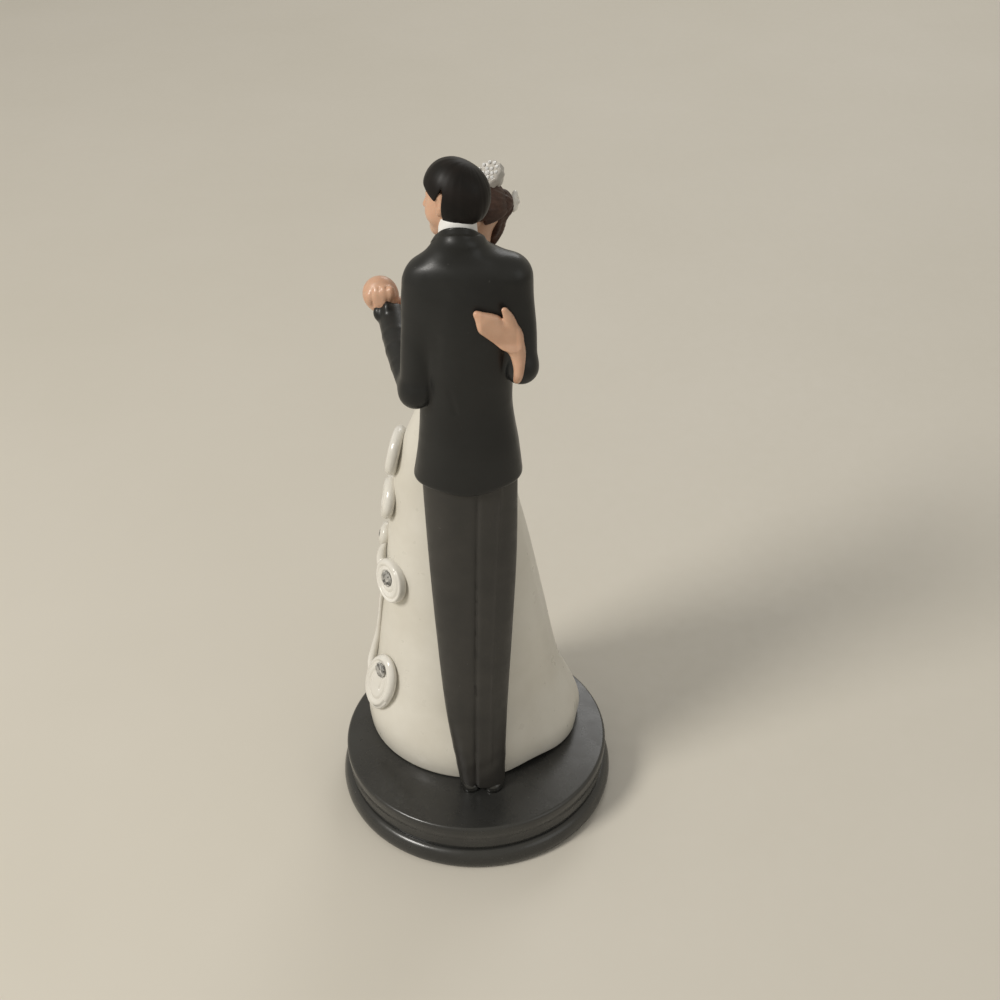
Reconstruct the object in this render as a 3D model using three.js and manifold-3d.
// Wedding cake topper: a dancing couple in painted castings on a round two-tier base.
// Millimetres, +Z up, origin at the middle of the base's underside, groom on the -Y side.
import * as THREE from "three";
import { mergeVertices } from "three/addons/utils/BufferGeometryUtils.js";
import Module from "manifold-3d";

// Glue line kept between castings that meet.
const GAP = 0.3;

// Base
const PLINTH_RADIUS = 35;
const PLINTH_HEIGHT = 5.4;
const TIER_RADIUS = 33.6;
const TIER_HEIGHT = 7.8;
const LIP_HEIGHT = 3;
const COVE_DEPTH = 0.5;
const SPIGOT_RADIUS = 20;
const SPIGOT_DEPTH = 2;
const FLOOR = PLINTH_HEIGHT + TIER_HEIGHT;

// Groom: where the figure stands, then the heights from the floor up.
const GROOM_X = 0.8;
const GROOM_Y = -12.2;
const HEEL_SETBACK = 5.2;
const ANKLE_SHIFT = 1.3;
const SHOE_LENGTH = 15;
const SHOE_WIDTH = 5.1;
const SHOE_HEIGHT = 2.2;
const LEG_LENGTH = 89.8;
const LEG_TUCK = 4;
const HIP_WIDTH = 20.6;
const HIP_DEPTH = 12.2;
const KNEE_WIDTH = 17.2;
const KNEE_DEPTH = 10.6;
const CUFF_WIDTH = 10.8;
const CUFF_DEPTH = 8;
const ANKLE_PEG_RADIUS = 1.1;
const ANKLE_PEG_LENGTH = 4;
const HEM_WIDTH = 24.1;
const HEM_DEPTH = 16;
const HEM_SHIFT = 0.35;
const WAIST_WIDTH = 19.4;
const WAIST_DEPTH = 13.2;
const WAIST_RISE = 20;
const CHEST_WIDTH = 20.4;
const CHEST_DEPTH = 14.4;
const CHEST_RISE = 21;
const SHOULDER_WIDTH = 20.2;
const SHOULDER_RISE = 8;
const SHOULDER_SHIFT = 0.6;
const NECK_RISE = 8;
const NECK_RADIUS = 2.7;
const NECK_SOCKET = 7;
const SLEEVE_TOP_RADIUS = 3.7;
const ELBOW_RADIUS = 3.3;
const SLEEVE_END_RADIUS = 2.8;
const UPPER_ARM_LEFT = 25.5;
const UPPER_ARM_RIGHT = 19.7;
const ELBOW_SETBACK = 3;
const LEFT_FOREARM_OUT = 6.4;
const LEFT_FOREARM_AHEAD = 22.2;
const LEFT_FOREARM_LIFT = 5.8;
const RIGHT_FOREARM_AHEAD = 22;
const RIGHT_FOREARM_DROP = 5.4;
const PALM_LIFT = 3;
const BACK_HAND_ACROSS = 4.6;
const BACK_HAND_REACH = 5;
const HEAD_HEIGHT = 16.2;
const HEAD_TURN = 65;
const HEAD_FORWARD = 3.7;
const SHIRT_COLLAR_WALL = 0.6;
const NAPE_DROP = 3.8;
const NAPE_BACK = 2;
const SHIRT_COLLAR_RISE = 2.4;
const JACKET_COLLAR_WALL = 0.6;
const JACKET_COLLAR_SPREAD = 4.2;
const JACKET_COLLAR_FLARE = 2.2;
const JACKET_COLLAR_HEIGHT = 8;
const JACKET_COLLAR_RISE = 3.8;
const COLLAR_FALL = 0.85;
const COLLAR_TILT = 0.3;
const BOW_TIE_WIDTH = 6.4;
const WRIST_PEG_RADIUS = 0.9;
const WRIST_PEG_LENGTH = 2;

// Bride: where the figure stands, then the heights from the floor up.
const BRIDE_X = -3.6;
const BRIDE_Y = 6;
const WAIST_ABOVE_HEM = 10;
const SKIRT_LENGTH = LEG_LENGTH + WAIST_ABOVE_HEM;
const SKIRT_WIDTH = 54.6;
const SKIRT_DEPTH = 49.6;
const SKIRT_SWEEP_X = 3;
const SKIRT_SWEEP_Y = 1.6;
const HEM_TUCK = 0.043;
const HEM_TUCK_BEARING = -53;
const HEM_TUCK_SHARPNESS = 20;
const FOLD_COUNT = 8;
const FOLD_DEPTH = 0.035;
const SEAT_WIDTH = 24;
const SEAT_DEPTH = 18.4;
const BRIDE_WAIST_WIDTH = 12.8;
const BRIDE_WAIST_DEPTH = 10;
const SKIRT_PEG_RADIUS = 2.2;
const SKIRT_PEG_LENGTH = 4;
const SKIRT_PEG_SPREAD = 22;
const BODICE_RISE = 19.2;
const BUST_WIDTH = 15.4;
const BUST_DEPTH = 11.4;
const BRIDE_LEAN = 5.6;
const SHOULDER_SPAN = 17.2;
const BRIDE_SHOULDER_RISE = 11;
const BRIDE_NECK_RADIUS = 2.4;
const TORSO_PEG_RADIUS = 2.6;
const TORSO_PEG_LENGTH = 3;
const BRIDE_HEAD_HEIGHT = 15.4;
const BRIDE_HEAD_TURN = 195;
const BRIDE_NAPE_DROP = 0.4;
const BRIDE_NAPE_BACK = 3;
const BUN_RADIUS = 2.8;
const LOCK_LENGTH = 9;
const LOCK_SWING = 1.7;
const TIARA_RADIUS = 3.2;
const TIARA_THICKNESS = 1.8;
const HAIR_FLOWER_RADIUS = 2.1;
const HAIR_FLOWER_THICKNESS = 1.3;
const ARM_RADIUS = 2;
const BRIDE_WRIST_RADIUS = 1.5;
const EMBRACE_RISE = 11.5;
const EMBRACE_PALM_X = 6.8;
const EMBRACE_PALM_RISE = 20.6;

// Gown trim
const ROSETTE_THICKNESS = 2.1;
const STONE_RADIUS = 1.4;
const STONE_HEIGHT = 1;
const LARGE_STONE_RADIUS = 1.9;
const TALL_STONE_LIFT = 4.2;
const ROSETTE_DROP_1 = 16.6;
const ROSETTE_DROP_2 = 29;
const ROSETTE_DROP_3 = 41;
const ROSETTE_DROP_4 = 48.8;
const ROSETTE_DROP_5 = 80.6;
const ROSETTE_SIZE_1 = 12.6;
const ROSETTE_SIZE_2 = 11;
const ROSETTE_SIZE_3 = 7.4;
const ROSETTE_SIZE_4 = 11;
const ROSETTE_SIZE_5 = 12.4;
const ROSETTES = [
  { drop: ROSETTE_DROP_1, bearing: 174, size: ROSETTE_SIZE_1 },
  { drop: ROSETTE_DROP_2, bearing: 182, size: ROSETTE_SIZE_2 },
  { drop: ROSETTE_DROP_3, bearing: 178, size: ROSETTE_SIZE_3 },
  { drop: ROSETTE_DROP_4, bearing: 210, size: ROSETTE_SIZE_4, stoneRadius: LARGE_STONE_RADIUS },
  {
    drop: ROSETTE_DROP_5,
    bearing: 208,
    size: ROSETTE_SIZE_5,
    tall: 1.32,
    stoneLift: TALL_STONE_LIFT,
    stoneRadius: LARGE_STONE_RADIUS,
  },
];

const wasm = await Module();
wasm.setup();
const TAU = Math.PI * 2;
const AXIS = new THREE.Vector3(0, 1, 0);
const at = (x, y, z) => new THREE.Vector3(x, y, z);

function solid(geometry) {
  const bare = geometry.index ? geometry.toNonIndexed() : geometry.clone();
  bare.deleteAttribute("normal");
  bare.deleteAttribute("uv");
  const merged = mergeVertices(bare, 1e-4);
  return new wasm.Manifold(
    new wasm.Mesh({
      numProp: 3,
      vertProperties: merged.attributes.position.array,
      triVerts: new Uint32Array(merged.index.array),
    }),
  );
}

const facing = (direction) => new THREE.Quaternion().setFromUnitVectors(AXIS, direction);
const join = (...bodies) => bodies.reduce((sum, body) => sum.add(body));
const cut = (body, ...tools) => tools.reduce((rest, tool) => rest.subtract(tool), body);

// The largest body left after a cut, without stray chips.
function largest(body) {
  const found = body.decompose();
  return found.reduce((best, one) => (one.volume() > best.volume() ? one : best));
}

// A closed body through level sections, each [z, x, y, width, depth]; draw pulls the outline in or out.
function loft(sections, grow = 0, { sides = 20, perSpan = 2, power = 2, draw = () => 1 } = {}) {
  const line = (pick) => new THREE.CatmullRomCurve3(sections.map(pick), false, "catmullrom");
  const centres = line(([z, x, y]) => at(x, y, z));
  const halves = line(([, , , width, depth]) => at(width / 2, depth / 2, 0));
  const last = (sections.length - 1) * perSpan;
  const points = [];
  const faces = [];
  const bend = (value) => Math.sign(value) * Math.abs(value) ** (2 / power);
  for (let ring = 0; ring <= last; ring++) {
    const centre = centres.getPoint(ring / last);
    const half = halves.getPoint(ring / last);
    if (ring === 0) centre.z -= grow;
    if (ring === last) centre.z += grow;
    for (let side = 0; side < sides; side++) {
      const angle = (side / sides) * TAU;
      const pull = draw(angle, ring / last);
      points.push(
        centre.x + (half.x * pull + grow) * bend(Math.cos(angle)),
        centre.y + (half.y * pull + grow) * bend(Math.sin(angle)),
        centre.z,
      );
    }
  }
  const foot = points.length / 3;
  points.push(...centres.getPoint(0).setZ(sections[0][0] - grow).toArray());
  points.push(...centres.getPoint(1).setZ(sections.at(-1)[0] + grow).toArray());
  for (let side = 0; side < sides; side++) {
    const next = (side + 1) % sides;
    for (let ring = 0; ring < last; ring++) {
      const low = ring * sides;
      const high = low + sides;
      faces.push(low + side, low + next, high + next, low + side, high + next, high + side);
    }
    faces.push(foot, next, side);
    faces.push(foot + 1, last * sides + side, last * sides + next);
  }
  const geometry = new THREE.BufferGeometry();
  geometry.setAttribute("position", new THREE.Float32BufferAttribute(points, 3));
  geometry.setIndex(faces);
  return solid(geometry);
}

// A lathe body about the line from one point to another, stretched upward to an oval if asked.
function turned(profile, from, to, sides, tall = 1) {
  const geometry = new THREE.LatheGeometry(
    profile.map(([radius, along]) => new THREE.Vector2(radius, along)),
    sides,
  );
  const direction = to.clone().sub(from).normalize();
  geometry.scale(1, 1, tall);
  geometry.applyQuaternion(facing(direction));
  geometry.translate(from.x, from.y, from.z);
  return solid(geometry);
}

function pin(from, to, radius, grow = 0, sides = 12) {
  const length = from.distanceTo(to);
  const profile = [
    [0, -grow],
    [radius + grow, -grow],
    [radius + grow, length + grow],
    [0, length + grow],
  ];
  return turned(profile, from, to, sides);
}

// Round-ended tapering lengths joined end to end: arms, fingers, necks.
function limb(points, radii, grow = 0, sides = 10) {
  const lengths = points.slice(1).map((to, i) => {
    const from = points[i];
    const length = from.distanceTo(to);
    const profile = [];
    for (let step = 0; step <= 2; step++) {
      const angle = (step / 2) * (Math.PI / 2);
      const radius = radii[i] + grow;
      profile.push([radius * Math.sin(angle), -radius * Math.cos(angle)]);
    }
    for (let step = 2; step >= 0; step--) {
      const angle = (step / 2) * (Math.PI / 2);
      const radius = radii[i + 1] + grow;
      profile.push([radius * Math.sin(angle), length + radius * Math.cos(angle)]);
    }
    profile[0][0] = 0;
    profile.at(-1)[0] = 0;
    return turned(profile, from, to, sides);
  });
  return join(...lengths);
}

function ball(centre, [rx, ry, rz], grow = 0, turn = 0, wide = 14, tall = 9) {
  const geometry = new THREE.SphereGeometry(1, wide, tall);
  geometry.rotateX(Math.PI / 2);
  geometry.scale(rx + grow, ry + grow, rz + grow);
  geometry.rotateZ(turn);
  geometry.translate(centre.x, centre.y, centre.z);
  return solid(geometry);
}

function block(centre, [x, y, z], turn = 0) {
  const geometry = new THREE.BoxGeometry(x, y, z);
  geometry.rotateZ(turn);
  geometry.translate(centre.x, centre.y, centre.z);
  return solid(geometry);
}

const group = new THREE.Group();
group.name = "wedding_cake_topper";
const PAINT = {
  black: { color: 0x1b1b1b, roughness: 0.35 },
  gloss_black: { color: 0x141414, roughness: 0.15 },
  white: { color: 0xe6e2d8, roughness: 0.4 },
  skin: { color: 0xd9a688, roughness: 0.45 },
  dark_hair: { color: 0x1d1816, roughness: 0.4 },
  brown_hair: { color: 0x4a3026, roughness: 0.4 },
  stone: { color: 0xdfe4ea, roughness: 0.05 },
};

function add(name, paint, body) {
  const mesh = body.getMesh();
  const geometry = new THREE.BufferGeometry();
  geometry.setAttribute("position", new THREE.BufferAttribute(mesh.vertProperties, 3));
  geometry.setIndex(new THREE.BufferAttribute(mesh.triVerts, 1));
  geometry.computeVertexNormals();
  const piece = new THREE.Mesh(geometry, new THREE.MeshStandardMaterial(PAINT[paint]));
  piece.name = name;
  group.add(piece);
}

// Groom's heights
const hemZ = FLOOR + LEG_LENGTH;
const waistZ = hemZ + WAIST_RISE;
const chestZ = waistZ + CHEST_RISE;
const shoulderZ = chestZ + SHOULDER_RISE;
const neckZ = shoulderZ + NECK_RISE;
const ankleZ = FLOOR + SHOE_HEIGHT + GAP;
const ankleY = GROOM_Y - HEEL_SETBACK;
const shoulderX = GROOM_X + SHOULDER_SHIFT;

// Bride's heights
const skirtTopZ = FLOOR + GAP + SKIRT_LENGTH;
const bodiceTopZ = skirtTopZ + GAP + BODICE_RISE;
const bustTopX = BRIDE_X + BRIDE_LEAN;
const brideNeckZ = bodiceTopZ + GAP + BRIDE_SHOULDER_RISE;
const brideNeck = at(bustTopX + 1.4, BRIDE_Y + 0.6, brideNeckZ);

// Trousers: two legs that meet in the middle and run up inside the jacket.
const ankleX = GROOM_X + ANKLE_SHIFT;
const legAnkle = (side) => at(ankleX + (side * CUFF_WIDTH) / 4, ankleY, ankleZ);

function leg(side, grow = 0) {
  const calfWidth = CUFF_WIDTH * 0.4 + KNEE_WIDTH * 0.6;
  const section = (z, x, y, width, depth) => [z, x + (side * width) / 4, y, width / 2 + 0.4, depth];
  const sections = [
    section(ankleZ, ankleX, ankleY, CUFF_WIDTH, CUFF_DEPTH),
    section(FLOOR + LEG_LENGTH * 0.27, GROOM_X + 0.3, ankleY + 1, calfWidth, CUFF_DEPTH + 1),
    section(FLOOR + LEG_LENGTH * 0.52, GROOM_X + 0.2, ankleY + 2, KNEE_WIDTH, KNEE_DEPTH),
    section(FLOOR + LEG_LENGTH * 0.78, GROOM_X + 0.2, GROOM_Y - 1, HIP_WIDTH * 0.95, HIP_DEPTH * 0.94),
    section(hemZ + LEG_TUCK, GROOM_X, GROOM_Y, HIP_WIDTH, HIP_DEPTH),
  ];
  return loft(sections, grow, { sides: 16, power: 2.3 });
}

const trousers = (grow = 0) => join(leg(-1, grow), leg(1, grow));
const anklePeg = (side, grow = 0) =>
  pin(
    legAnkle(side).setZ(FLOOR - ANKLE_PEG_LENGTH),
    legAnkle(side).setZ(ankleZ + 1),
    ANKLE_PEG_RADIUS,
    grow,
  );

function shoe(side, grow = 0) {
  const ankle = legAnkle(side);
  const heelY = ankle.y - CUFF_DEPTH / 2 - 0.2;
  const half = SHOE_WIDTH / 2;
  const toeX = ankle.x + side * 0.8;
  const heel = ball(
    at(ankle.x, heelY + half + 0.4, FLOOR + 0.6),
    [half, half + 0.4, SHOE_HEIGHT],
    grow,
  );
  const toe = ball(
    at(toeX, heelY + SHOE_LENGTH - 4.6, FLOOR + 0.4),
    [half, 4.6, SHOE_HEIGHT * 0.72],
    grow,
  );
  const middle = ball(
    at((ankle.x + toeX) / 2, heelY + 6.4, FLOOR + 0.5),
    [half * 0.92, 5, SHOE_HEIGHT],
    grow,
  );
  const room = [20, 40, 20];
  const above = block(at(ankle.x, heelY + 8, FLOOR + GAP - grow + 10), room);
  const below = block(at(ankle.x, heelY + 8, FLOOR + SHOE_HEIGHT + grow - 10), room);
  const innerX = ankleX + side * (10 + GAP / 2 - grow);
  const inner = block(at(innerX, heelY + 8, FLOOR), room);
  return join(heel, middle, toe).intersect(above).intersect(below).intersect(inner);
}

// Jacket
const seatWidth = (HEM_WIDTH + WAIST_WIDTH) / 2;
const ribWidth = WAIST_WIDTH * 0.4 + CHEST_WIDTH * 0.6;
const jacketSections = [
  [hemZ, GROOM_X - HEM_SHIFT, GROOM_Y, HEM_WIDTH, HEM_DEPTH],
  [hemZ + WAIST_RISE * 0.45, GROOM_X, GROOM_Y, seatWidth, HEM_DEPTH * 0.95],
  [waistZ, GROOM_X - 0.3, GROOM_Y, WAIST_WIDTH, WAIST_DEPTH],
  [waistZ + CHEST_RISE * 0.55, GROOM_X, GROOM_Y, ribWidth, CHEST_DEPTH * 0.98],
  [chestZ, GROOM_X + SHOULDER_SHIFT / 2, GROOM_Y, CHEST_WIDTH, CHEST_DEPTH],
  [shoulderZ, shoulderX, GROOM_Y, SHOULDER_WIDTH, CHEST_DEPTH * 0.84],
  [shoulderZ + NECK_RISE * 0.4, shoulderX, GROOM_Y, SHOULDER_WIDTH * 0.95, CHEST_DEPTH * 0.72],
  [shoulderZ + NECK_RISE * 0.6, shoulderX, GROOM_Y + 0.3, SHOULDER_WIDTH * 0.74, CHEST_DEPTH * 0.64],
  [neckZ - 1.6, GROOM_X - 0.4, GROOM_Y + 0.6, NECK_RADIUS * 2.7, NECK_RADIUS * 2.7],
];
const jacketForm = (grow = 0) => loft(jacketSections, grow, { sides: 20, power: 2.2 });

// Groom's head, which sits on a neck that runs down into the jacket.
const headUnit = HEAD_HEIGHT / 18;
const headTurn = THREE.MathUtils.degToRad(90 + HEAD_TURN);
const groomHead = at(GROOM_X - 1.3, GROOM_Y + HEAD_FORWARD, neckZ + HEAD_HEIGHT * 0.39);
const brideUnit = BRIDE_HEAD_HEIGHT / 18;
const brideTurn = THREE.MathUtils.degToRad(BRIDE_HEAD_TURN);
const brideHead = at(brideNeck.x - 1, brideNeck.y + 0.6, brideNeckZ + BRIDE_HEAD_HEIGHT * 0.8);

// A point in a head's own frame: ahead of the face, to its left, above its middle.
function inHead(centre, turn, unit, ahead, left, up) {
  return at(ahead * unit, left * unit, up * unit).applyAxisAngle(at(0, 0, 1), turn).add(centre);
}

function headForm(centre, turn, unit, grow = 0) {
  const place = (ahead, left, up) => inHead(centre, turn, unit, ahead, left, up);
  const size = (...radii) => radii.map((radius) => radius * unit);
  return join(
    ball(place(-0.2, 0, 1), size(6.7, 5.6, 6.6), grow, turn),
    ball(place(2.4, 0, -3.4), size(4.3, 4.5, 5.4), grow, turn, 12, 8),
    ball(place(4.6, 0, -7.6), size(1.9, 2.2, 1.7), grow, turn, 10, 6),
    limb([place(6.2, 0, 0.4), place(7, 0, -2.2)], [0.6 * unit, 0.95 * unit], grow, 10),
    ball(place(0, 5.9, -0.4), size(1.4, 0.8, 2.2), grow, turn, 8, 6),
    ball(place(0, -5.9, -0.4), size(1.4, 0.8, 2.2), grow, turn, 12, 8),
  );
}

const groomNeckFoot = at(GROOM_X - 0.4, GROOM_Y + 0.6, neckZ - NECK_SOCKET);
const groomNeckTop = inHead(groomHead, headTurn, headUnit, -1.4, 0, -3);
const groomNeck = (grow = 0) =>
  join(
    pin(groomNeckFoot, at(groomNeckFoot.x, groomNeckFoot.y, neckZ + 1), NECK_RADIUS, grow),
    limb([at(groomNeckFoot.x, groomNeckFoot.y, neckZ), groomNeckTop], [NECK_RADIUS, NECK_RADIUS], grow),
  );

function hairCap(centre, turn, unit, crown, napeDrop, napeBack) {
  const place = (ahead, left, up) => inHead(centre, turn, unit, ahead, left, up);
  const size = (...radii) => radii.map((radius) => radius * unit);
  const cap = join(
    ball(place(-0.5, 0, 1.4), size(7.7, 6.8, 7.5), 0, turn, 16, 10),
    ball(place(-napeBack, 0, -1.4), size(5.2, 5.6, 5.6), 0, turn),
    ball(place(1.2, 1, 3.2), size(6, 5.4, 6 + crown), 0, turn),
  );
  const face = join(
    block(place(7, 0, -8.6), size(12, 16, 20), turn),
    block(place(10, 0, -6), size(12, 16, 20), turn),
  );
  const under = block(place(0, 0, napeDrop - 10), size(40, 40, 20), turn);
  const ears = join(
    ball(place(0.2, 6.6, -0.6), size(1.8, 2.2, 2.9), 0, turn, 10, 8),
    ball(place(0.2, -6.6, -0.6), size(1.8, 2.2, 2.9), 0, turn, 10, 8),
  );
  return cut(cap, face, under, ears, headForm(centre, turn, unit, GAP));
}

// Collars round the groom's neck, both leaning forward with it
const collarTop = neckZ + SHIRT_COLLAR_RISE;
const shirtOuter = NECK_RADIUS + GAP + SHIRT_COLLAR_WALL;
const collarAxis = (z) => at(groomNeckFoot.x, groomNeckFoot.y + COLLAR_TILT * (z - neckZ), z);
const shirtCollarForm = (grow = 0) =>
  pin(collarAxis(neckZ - 4), collarAxis(collarTop), shirtOuter, grow, 18);
const collarOuter = shirtOuter + GAP + JACKET_COLLAR_WALL;

// The jacket collar stands high behind the neck and spreads down onto the shoulders.
function jacketCollarForm(grow = 0) {
  const top = neckZ + JACKET_COLLAR_RISE;
  const section = (share) => {
    const axis = collarAxis(top - JACKET_COLLAR_HEIGHT * share);
    const flare = JACKET_COLLAR_SPREAD * share ** JACKET_COLLAR_FLARE;
    const width = 2 * (collarOuter + flare);
    const depth = 2 * (collarOuter + flare * 0.3);
    return [axis.z, axis.x, axis.y, width, depth];
  };
  const cape = loft([section(1), section(0.5), section(0)], grow, { sides: 18 });
  const slope = at(0, COLLAR_FALL, 1).normalize();
  const crest = collarAxis(top).add(at(0, -collarOuter, grow));
  const below = pin(crest.clone().addScaledVector(slope, -40), crest, 40);
  return cape.intersect(below);
}

// Sleeves. The left one bends up to the held hands, the right one goes round the bride.
const leftShoulder = at(shoulderX - SHOULDER_WIDTH / 2 + 0.3, GROOM_Y, shoulderZ + 0.5);
const elbowY = GROOM_Y - ELBOW_SETBACK;
const leftElbow = at(leftShoulder.x - 1.3, elbowY, leftShoulder.z - UPPER_ARM_LEFT);
const leftWrist = leftElbow.clone().add(at(-LEFT_FOREARM_OUT, LEFT_FOREARM_AHEAD, LEFT_FOREARM_LIFT));
const rightShoulder = at(shoulderX + SHOULDER_WIDTH / 2 - 0.3, GROOM_Y, shoulderZ + 0.7);
const rightElbow = at(rightShoulder.x + 0.8, elbowY, rightShoulder.z - UPPER_ARM_RIGHT);
const rightWrist = rightElbow.clone().add(at(-1, RIGHT_FOREARM_AHEAD, -RIGHT_FOREARM_DROP));
const sleeveRadii = [SLEEVE_TOP_RADIUS, ELBOW_RADIUS, SLEEVE_END_RADIUS];

// A sleeve's last length stops square at the cuff.
function sleeveForm(shoulder, elbow, wrist, grow = 0) {
  const out = wrist.clone().sub(elbow).normalize();
  const far = wrist.clone().addScaledVector(out, 12);
  const past = pin(wrist.clone().addScaledVector(out, grow), far, 12);
  return cut(limb([shoulder, elbow, wrist], sleeveRadii, grow, 12), past);
}

const leftSleeveForm = (grow = 0) => sleeveForm(leftShoulder, leftElbow, leftWrist, grow);
const rightSleeveForm = (grow = 0) => sleeveForm(rightShoulder, rightElbow, rightWrist, grow);

// A peg on the hand that sits in the end of the sleeve.
function wristPeg(elbow, wrist, grow = 0) {
  const out = wrist.clone().sub(elbow).normalize();
  const foot = wrist.clone().addScaledVector(out, -WRIST_PEG_LENGTH);
  return pin(foot, wrist.clone().addScaledVector(out, 2), WRIST_PEG_RADIUS, grow, 12);
}

// Groom's left hand: a palm with four fingers folded over the bride's hand.
const leftOut = leftWrist.clone().sub(leftElbow).normalize();
const palmLeft = leftWrist.clone().add(at(-PALM_LIFT * 0.5, PALM_LIFT * 0.6, PALM_LIFT));
function groomHandLeft(grow = 0) {
  const palm = ball(palmLeft, [2.7, 2.2, 3.5], grow, 0, 12, 8);
  const root = leftWrist.clone().addScaledVector(leftOut, 1.5);
  const heel = limb([root, palmLeft], [1.7, 1.9], grow, 12);
  const fingers = [0, 1, 2, 3].map((i) => {
    const knuckle = palmLeft.clone().add(at(-0.8 + i * 0.3, -1.4 + i * 1.15, 2.7));
    const tip = knuckle.clone().add(at(-2.7, 0.3, -2 - i * 0.1));
    return limb([knuckle, tip], [0.95, 0.85], grow, 6);
  });
  const back = cut(join(palm, heel, ...fingers), leftSleeveForm(GAP - grow));
  return join(back, wristPeg(leftElbow, leftWrist, grow));
}

// Groom's right hand lies flat on the bride's back.
const backHand = rightWrist.clone().add(at(-BACK_HAND_ACROSS, BACK_HAND_REACH, -1));
function groomHandRight() {
  const out = rightWrist.clone().sub(rightElbow).normalize();
  const root = rightWrist.clone().addScaledVector(out, 1.4);
  const palm = limb([root, backHand], [1.6, 1.9], 0, 12);
  const fingers = [0, 1, 2, 3].map((i) => {
    const knuckle = backHand.clone().add(at(-0.8, 0.2, 1.5 - i * 1));
    return limb([knuckle, knuckle.clone().add(at(-4.4, -0.4, 0.7 - i * 0.4))], [0.85, 0.7], 0, 6);
  });
  const thumb = limb([root, root.clone().add(at(-2.6, 0.9, 3))], [0.9, 0.7], 0, 6);
  const hand = cut(join(palm, thumb, ...fingers), rightSleeveForm(GAP), bodiceForm(GAP));
  return join(largest(hand), wristPeg(rightElbow, rightWrist));
}

// Skirt: level sections that spread from the waist to the floor.
const skirtAt = (share) => FLOOR + GAP + SKIRT_LENGTH * share;
const skirtX = (sweep) => BRIDE_X + SKIRT_SWEEP_X * sweep;
const skirtY = (sweep) => BRIDE_Y + SKIRT_SWEEP_Y * sweep;
const skirtSections = [
  [skirtAt(0), skirtX(1), skirtY(1), SKIRT_WIDTH, SKIRT_DEPTH],
  [skirtAt(0.03), skirtX(1), skirtY(1), SKIRT_WIDTH * 1.01, SKIRT_DEPTH * 1.01],
  [skirtAt(0.19), skirtX(0.53), skirtY(1), SKIRT_WIDTH * 0.866, SKIRT_DEPTH * 0.823],
  [skirtAt(0.391), skirtX(0.3), skirtY(0.9), SKIRT_WIDTH * 0.738, SKIRT_DEPTH * 0.685],
  [skirtAt(0.666), skirtX(-0.06), skirtY(0.5), SKIRT_WIDTH * 0.57, SKIRT_DEPTH * 0.5],
  [skirtAt(0.847), skirtX(-0.2), BRIDE_Y, SEAT_WIDTH, SEAT_DEPTH],
  [skirtAt(1), BRIDE_X, BRIDE_Y - 0.4, BRIDE_WAIST_WIDTH, BRIDE_WAIST_DEPTH],
];

// The hem is drawn in beside the groom's right foot, and folds open down the far side.
function hemDraw(angle, share) {
  const off = Math.cos(angle - THREE.MathUtils.degToRad(HEM_TUCK_BEARING));
  const tuck = HEM_TUCK * Math.max(off, 0) ** HEM_TUCK_SHARPNESS;
  const far = THREE.MathUtils.smoothstep(Math.sin(angle) + Math.cos(angle) / 4, -0.2, 0.6);
  const fold = FOLD_DEPTH * far * Math.sin(FOLD_COUNT * angle + 0.6);
  return 1 + (fold - tuck * (1 - share)) * (1 - share);
}

const skirtForm = (grow = 0) => loft(skirtSections, grow, { sides: 48, power: 1.9, draw: hemDraw });
const skirtPeg = (side, grow = 0) => {
  const x = BRIDE_X + SKIRT_SWEEP_X + (side * SKIRT_PEG_SPREAD) / 2;
  const y = BRIDE_Y + SKIRT_SWEEP_Y + SKIRT_DEPTH * 0.2;
  return pin(at(x, y, FLOOR - SKIRT_PEG_LENGTH), at(x, y, FLOOR + 3), SKIRT_PEG_RADIUS, grow);
};

// Bodice and bare shoulders, each pegged into the piece below.
const leanX = (share) => BRIDE_X + BRIDE_LEAN * share;
const bodiceSections = [
  [skirtTopZ + GAP, BRIDE_X, BRIDE_Y - 0.4, BRIDE_WAIST_WIDTH, BRIDE_WAIST_DEPTH],
  [skirtTopZ + BODICE_RISE * 0.4, leanX(0.4), BRIDE_Y - 0.8, BUST_WIDTH * 0.88, BUST_DEPTH * 0.92],
  [skirtTopZ + BODICE_RISE * 0.75, leanX(0.8), BRIDE_Y - 1.2, BUST_WIDTH, BUST_DEPTH],
  [bodiceTopZ, bustTopX, BRIDE_Y - 0.8, BUST_WIDTH * 0.96, BUST_DEPTH * 0.86],
];
const bodiceForm = (grow = 0) => loft(bodiceSections, grow);
const waistPeg = (grow = 0) => {
  const foot = at(BRIDE_X, BRIDE_Y - 0.4, skirtTopZ - TORSO_PEG_LENGTH);
  return pin(foot, foot.clone().setZ(skirtTopZ + 3), TORSO_PEG_RADIUS, grow);
};
const bustPeg = (grow = 0) => {
  const foot = at(bustTopX, BRIDE_Y - 0.8, bodiceTopZ - TORSO_PEG_LENGTH);
  return pin(foot, foot.clone().setZ(bodiceTopZ + 3), TORSO_PEG_RADIUS, grow);
};
const bustAt = (share) => bodiceTopZ + BRIDE_SHOULDER_RISE * share;
const bustSections = [
  [bodiceTopZ + GAP, bustTopX, BRIDE_Y - 0.8, BUST_WIDTH * 0.94, BUST_DEPTH * 0.8],
  [bustAt(0.45), bustTopX + 0.4, BRIDE_Y - 0.4, SHOULDER_SPAN, BUST_DEPTH * 0.74],
  [bustAt(0.75), bustTopX + 0.8, BRIDE_Y, SHOULDER_SPAN * 0.68, BUST_DEPTH * 0.62],
  [brideNeckZ, brideNeck.x, brideNeck.y, BRIDE_NECK_RADIUS * 2.3, BRIDE_NECK_RADIUS * 2.3],
];
const bustForm = (grow = 0) => loft(bustSections, grow);
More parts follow.
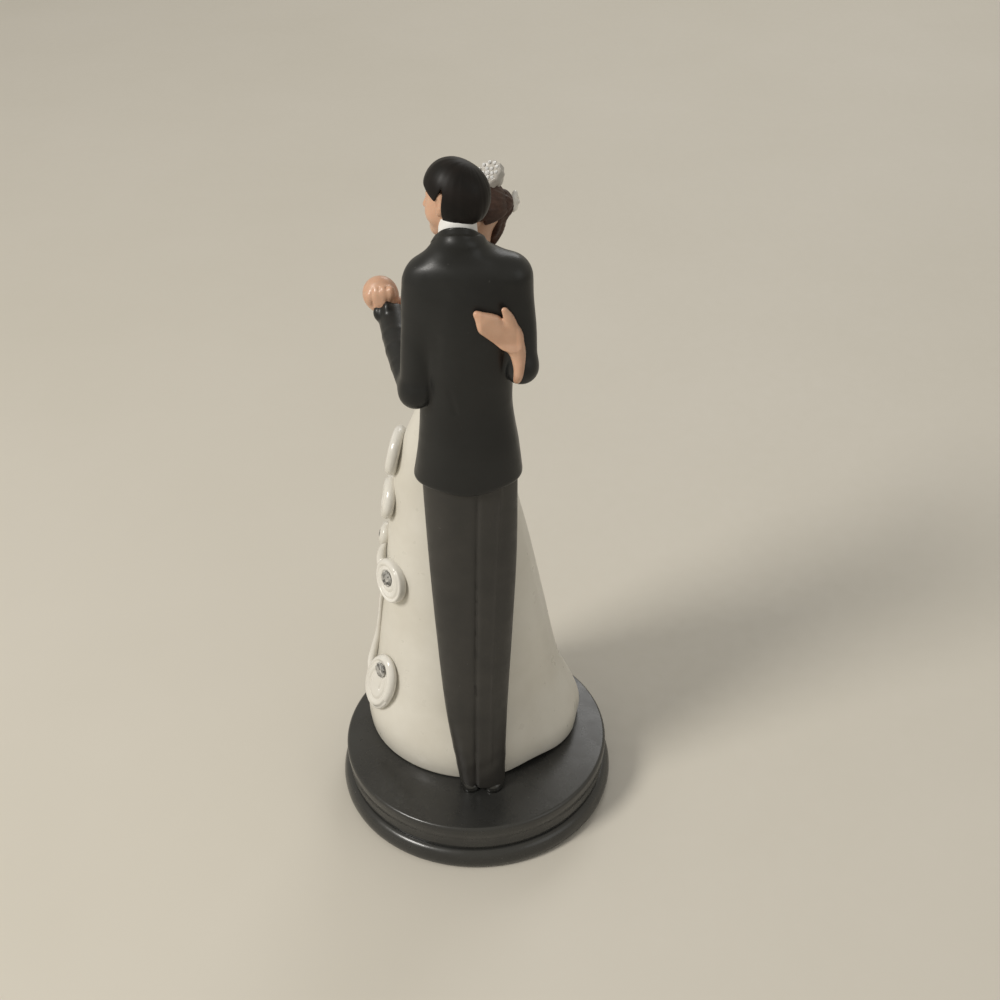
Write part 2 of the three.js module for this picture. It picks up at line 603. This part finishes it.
const brideNeckTop = inHead(brideHead, brideTurn, brideUnit, -1.4, 0, -3.5);
const brideNeckFoot = at(brideNeck.x, brideNeck.y, brideNeckZ - 4);
const brideNeckForm = (grow = 0) =>
  join(
    pin(brideNeckFoot, at(brideNeck.x, brideNeck.y, brideNeckZ + 0.5), BRIDE_NECK_RADIUS * 0.8, grow),
    limb(
      [at(brideNeck.x, brideNeck.y, brideNeckZ + BRIDE_NECK_RADIUS + GAP), brideNeckTop],
      [BRIDE_NECK_RADIUS, BRIDE_NECK_RADIUS],
      grow,
    ),
  );

// Bride's arms
const brideShoulder = (side) =>
  at(bustTopX + 0.6 + side * (SHOULDER_SPAN / 2 - 0.6), BRIDE_Y - 0.2, bustAt(0.42));
const chestHalf = CHEST_DEPTH / 2;
const underArm = at(rightElbow.x - 2.2, GROOM_Y + chestHalf + 1.2, rightElbow.z + 5);
const backSide = at(GROOM_X + WAIST_WIDTH / 2 + 0.4, GROOM_Y - chestHalf + 1, waistZ + EMBRACE_RISE);
const backPalm = at(GROOM_X + EMBRACE_PALM_X, GROOM_Y - chestHalf - 0.4, waistZ + EMBRACE_PALM_RISE);

function brideForearm() {
  const wrist = backPalm.clone().add(at(2.6, 0.4, -3.4));
  const arm = limb([backSide, wrist, backPalm], [2, BRIDE_WRIST_RADIUS + 0.4, 2], 0, 12);
  const fingers = [0, 1, 2, 3].map((i) => {
    const knuckle = backPalm.clone().add(at(-0.9, -0.1, 1.2 - i * 0.85));
    const tip = knuckle.clone().add(at(-3.6 + Math.abs(i - 1.4) * 0.5, -0.1, 1.4 - i * 0.3));
    return limb([knuckle, tip], [0.85, 0.65], 0, 6);
  });
  const thumb = limb([backPalm, backPalm.clone().add(at(1, -0.2, 3.4))], [1, 0.7], 0, 6);
  const body = cut(join(arm, thumb, ...fingers), jacketForm(GAP), rightSleeveForm(GAP));
  return largest(body);
}

function brideArmRight() {
  const shoulder = brideShoulder(-1);
  const hand = palmLeft.clone().add(at(-0.6, 2.4, -0.2));
  const elbow = shoulder.clone().lerp(hand, 0.5).add(at(-0.6, 3, -3.4));
  const wrist = hand.clone().add(at(1.4, 1.4, -2.4));
  const radii = [ARM_RADIUS, ARM_RADIUS * 0.9, BRIDE_WRIST_RADIUS, 1.8];
  const arm = limb([shoulder, elbow, wrist, hand], radii, 0, 12);
  const clearOfBride = cut(arm, bodiceForm(GAP), bustForm(GAP));
  return largest(cut(clearOfBride, groomHandLeft(GAP), leftSleeveForm(GAP), jacketForm(GAP)));
}

// Hair knot behind the bride's head with a hanging lock, and two white flowers in the hair.
const inBride = (ahead, left, up) => inHead(brideHead, brideTurn, brideUnit, ahead, left, up);
const brideSize = (...radii) => radii.map((radius) => radius * brideUnit);
const brideFace = (grow = 0) => join(headForm(brideHead, brideTurn, brideUnit, grow), brideNeckForm(grow));
function hairForm(grow = 0) {
  const whole = join(
    ball(inBride(-0.5, 0, 1.4), brideSize(7.7, 6.8, 7.5), grow, brideTurn, 16, 10),
    ball(inBride(-BRIDE_NAPE_BACK, 0, -1.4), brideSize(5.2, 5.6, 5.6), grow, brideTurn),
    ball(inBride(1.2, 1, 3.2), brideSize(6, 5.4, 6.4), grow, brideTurn),
  );
  const nape = inBride(0, 0, -BRIDE_NAPE_DROP);
  return cut(whole, block(nape.setZ(nape.z - grow - 20), [60, 60, 40]));
}

const bunCentre = inBride(-6.2, 0, 1.2);
const tiaraCentre = inBride(-3.6, -0.4, 9.2);
const tiaraOut = inBride(0.6, 0.2, 0.8).sub(brideHead).normalize();
const flowerCentre = inBride(-10.6, -2.4, 0.4);
const flowerOut = inBride(-1, 0.5, 0).sub(brideHead).normalize();

function bunForm(grow = 0) {
  const knot = ball(bunCentre, [BUN_RADIUS, BUN_RADIUS, BUN_RADIUS + 0.6], grow, 0, 14, 9);
  const middle = bunCentre.clone().add(at(-LOCK_SWING * 0.25, 0.4, -LOCK_LENGTH * 0.5));
  const tip = bunCentre.clone().add(at(-LOCK_SWING, 0, -LOCK_LENGTH));
  return join(knot, limb([bunCentre, middle, tip], [1.9, 1.7, 0.8], grow, 10));
}

// A round flower with a dished face, about the line it looks along.
function flower(centre, out, radius, thickness) {
  const profile = [
    [0, -thickness],
    [radius * 0.8, -thickness],
    [radius, -thickness * 0.3],
    [radius * 0.94, thickness * 0.1],
    [radius * 0.7, thickness * 0.35],
    [radius * 0.45, thickness * 0.15],
    [0, thickness * 0.3],
  ];
  return turned(profile, centre, centre.clone().add(out), 14);
}

// Shirt front and bow tie in the jacket's opening
const shirtFront = (grow = 0) =>
  ball(
    at(groomNeckFoot.x, GROOM_Y + CHEST_DEPTH / 2 - 1.6, shoulderZ - 2),
    [3.2, 2.4, 8],
    grow,
    0,
    16,
    12,
  );

function bowTie() {
  const middle = at(groomNeckFoot.x, GROOM_Y + CHEST_DEPTH * 0.5 + 0.2, shoulderZ + 2.4);
  const half = BOW_TIE_WIDTH / 2;
  const wing = (side) =>
    limb([middle, middle.clone().add(at(side * (half - 0.9), 0.2, 0))], [0.8, 1.15], 0, 10);
  return cut(
    join(wing(-1), wing(1)),
    shirtCollarForm(GAP),
    jacketForm(GAP),
    shirtFront(GAP),
    jacketCollarForm(GAP),
    headForm(groomHead, headTurn, headUnit, GAP),
  );
}

// A point on the skirt's outside and its outward direction, from a drop below the waist and a bearing.
function onSkirt(drop, bearing) {
  const z = skirtTopZ - drop;
  const angle = THREE.MathUtils.degToRad(bearing);
  const level = (height) => {
    const upper = skirtSections.findIndex(([top]) => top >= height);
    const low = skirtSections[Math.max(upper - 1, 0)];
    const high = skirtSections[Math.max(upper, 1)];
    const share = (height - low[0]) / (high[0] - low[0]);
    const mixed = low.map((value, i) => value + (high[i] - value) * share);
    return at(
      mixed[1] + (mixed[3] / 2) * Math.cos(angle),
      mixed[2] + (mixed[4] / 2) * Math.sin(angle),
      height,
    );
  };
  const spot = level(z);
  const slope = level(z + 2).sub(level(z - 2)).normalize();
  const across = at(-Math.sin(angle), Math.cos(angle), 0);
  return { spot, out: across.cross(slope).normalize() };
}

function stone(centre, out, radius, grow = 0) {
  const profile = [
    [0, -0.5 - grow],
    [radius + grow, -0.3 - grow],
    [radius + grow, 0.2],
    [radius * 0.6 + grow, STONE_HEIGHT - 0.5 + grow],
    [0, STONE_HEIGHT - 0.5 + grow],
  ];
  return turned(profile, centre, centre.clone().add(out), 6);
}

function rosette({ drop, bearing, size, tall = 1, stoneLift = 0, stoneRadius = STONE_RADIUS }) {
  const { spot, out } = onSkirt(drop, bearing);
  const half = size / 2;
  const rim = ROSETTE_THICKNESS;
  const profile = [
    [0, -1.4],
    [half * 0.8, -1.4],
    [half, rim * 0.3],
    [half * 0.94, rim * 0.72],
    [half * 0.78, rim * 0.9],
    [half * 0.62, rim * 0.74],
    [half * 0.46, rim],
    [half * 0.3, rim * 0.82],
    [0, rim * 0.82],
  ];
  const up = at(0, 0, stoneLift).applyQuaternion(facing(out));
  const seat = spot.clone().addScaledVector(out, rim * 0.82 + 0.2).add(up);
  const whole = turned(profile, spot, spot.clone().add(out), 13, tall);
  const disc = cut(whole, skirtForm(GAP), stone(seat, out, stoneRadius, GAP / 2));
  return { disc: largest(disc), gem: stone(seat, out, stoneRadius) };
}

// Base
const SEAT_Z = PLINTH_HEIGHT - SPIGOT_DEPTH;
const plinthProfile = [
  [0, 0],
  [PLINTH_RADIUS - 0.9, 0],
  [PLINTH_RADIUS - 0.2, 0.7],
  [PLINTH_RADIUS, PLINTH_HEIGHT * 0.4],
  [PLINTH_RADIUS - 0.3, PLINTH_HEIGHT * 0.66],
  [PLINTH_RADIUS - 0.8, PLINTH_HEIGHT * 0.88],
  [PLINTH_RADIUS - 1.5, PLINTH_HEIGHT],
  [SPIGOT_RADIUS + GAP, PLINTH_HEIGHT],
  [SPIGOT_RADIUS + GAP, SEAT_Z - GAP],
  [0, SEAT_Z - GAP],
];
const tierProfile = [
  [0, SEAT_Z],
  [SPIGOT_RADIUS, SEAT_Z],
  [SPIGOT_RADIUS, PLINTH_HEIGHT + GAP],
  [TIER_RADIUS - 0.6, PLINTH_HEIGHT + GAP],
  [TIER_RADIUS - COVE_DEPTH, PLINTH_HEIGHT + 1.4],
  [TIER_RADIUS - COVE_DEPTH, FLOOR - LIP_HEIGHT - 1],
  [TIER_RADIUS - 0.2, FLOOR - LIP_HEIGHT],
  [TIER_RADIUS, FLOOR - LIP_HEIGHT * 0.6],
  [TIER_RADIUS - 0.2, FLOOR - 0.3],
  [TIER_RADIUS - 0.7, FLOOR],
  [0, FLOOR],
];

function lathed(profile) {
  const points = profile.map(([radius, z]) => new THREE.Vector2(radius, z));
  const geometry = new THREE.LatheGeometry(points, 44);
  geometry.rotateX(Math.PI / 2);
  return solid(geometry);
}

const pegHoles = [-1, 1].flatMap((side) => [anklePeg(side, GAP), skirtPeg(side, GAP)]);
add("base_plinth", "gloss_black", lathed(plinthProfile));
add("base_top", "gloss_black", cut(lathed(tierProfile), ...pegHoles));

// Groom
for (const [side, name] of [
  [-1, "left"],
  [1, "right"],
]) {
  add("groom_shoe_" + name, "gloss_black", cut(shoe(side), anklePeg(side, GAP)));
}
add("groom_trousers", "black", join(trousers(), anklePeg(-1), anklePeg(1)));
const neckHole = groomNeck(GAP);
const jacket = cut(jacketForm(), trousers(GAP), neckHole, shirtCollarForm(GAP), shirtFront(GAP));
add("groom_jacket", "black", largest(jacket));
add(
  "groom_jacket_collar",
  "black",
  largest(
    cut(
      jacketCollarForm(),
      jacketForm(GAP),
      leftSleeveForm(GAP),
      rightSleeveForm(GAP),
      shirtCollarForm(GAP),
      shirtFront(GAP),
      headForm(groomHead, headTurn, headUnit, GAP),
    ),
  ),
);
const leftSleeve = cut(leftSleeveForm(), jacketForm(GAP), wristPeg(leftElbow, leftWrist, GAP));
const rightPegHole = wristPeg(rightElbow, rightWrist, GAP);
const rightSleeve = cut(rightSleeveForm(), jacketForm(GAP), rightPegHole, bodiceForm(GAP));
add("groom_sleeve_left", "black", largest(leftSleeve));
add("groom_sleeve_right", "black", largest(rightSleeve));
add("groom_hand_left", "skin", groomHandLeft());
add("groom_hand_right", "skin", groomHandRight());
const shirtCollar = cut(shirtCollarForm(), neckHole, shirtFront(GAP));
add("groom_shirt_collar", "white", largest(shirtCollar));
const frontLimit = jacketForm(0.8);
const shirt = cut(shirtFront().intersect(frontLimit), neckHole, trousers(GAP));
add("groom_shirt_front", "white", largest(shirt));
add("groom_bow_tie", "black", largest(bowTie()));
const headCut = shirtCollarForm(GAP);
const face = headForm(groomHead, headTurn, headUnit);
add("groom_head", "skin", join(groomNeck(), cut(face, headCut)));
const groomCap = hairCap(groomHead, headTurn, headUnit, 0.6, -NAPE_DROP, NAPE_BACK);
const groomHair = cut(groomCap, groomNeck(GAP), shirtCollarForm(GAP), jacketCollarForm(GAP));
add("groom_hair", "dark_hair", largest(groomHair));

// Bride
const skirt = cut(
  skirtForm(),
  trousers(GAP),
  shoe(-1, GAP),
  shoe(1, GAP),
  jacketForm(GAP),
  anklePeg(-1, GAP),
  anklePeg(1, GAP),
  waistPeg(GAP),
);
add("bride_skirt", "white", join(largest(skirt), skirtPeg(-1), skirtPeg(1)));
const bodice = join(bodiceForm(), waistPeg());
add("bride_bodice", "white", cut(bodice, bustPeg(GAP), jacketForm(GAP)));
const bust = join(bustForm(), bustPeg());
add("bride_bust", "skin", cut(bust, brideNeckForm(GAP), jacketForm(GAP)));
const upperArm = limb([brideShoulder(1), underArm], [ARM_RADIUS, ARM_RADIUS * 0.9], 0, 12);
add(
  "bride_upper_arm_left",
  "skin",
  largest(cut(upperArm, bodiceForm(GAP), bustForm(GAP), jacketForm(GAP), rightSleeveForm(GAP))),
);
add("bride_forearm_left", "skin", brideForearm());
add("bride_arm_right", "skin", brideArmRight());
add("bride_head", "skin", brideFace());
const brideHair = hairCap(brideHead, brideTurn, brideUnit, 0.4, -BRIDE_NAPE_DROP, BRIDE_NAPE_BACK);
add("bride_hair", "brown_hair", largest(cut(brideHair, brideNeckForm(GAP))));
add("bride_bun", "brown_hair", largest(cut(bunForm(), hairForm(GAP), brideFace(GAP), bustForm(GAP))));
const tiara = flower(tiaraCentre, tiaraOut, TIARA_RADIUS, TIARA_THICKNESS);
add("bride_tiara", "white", largest(cut(tiara, hairForm(GAP), bunForm(GAP))));
const hairFlower = flower(flowerCentre, flowerOut, HAIR_FLOWER_RADIUS, HAIR_FLOWER_THICKNESS);
add("bride_hair_flower", "white", largest(cut(hairFlower, hairForm(GAP), bunForm(GAP))));

ROSETTES.forEach((spec, i) => {
  const { disc, gem } = rosette(spec);
  add("rosette_" + (i + 1), "white", disc);
  add("rosette_stone_" + (i + 1), "stone", gem);
});

export default group;
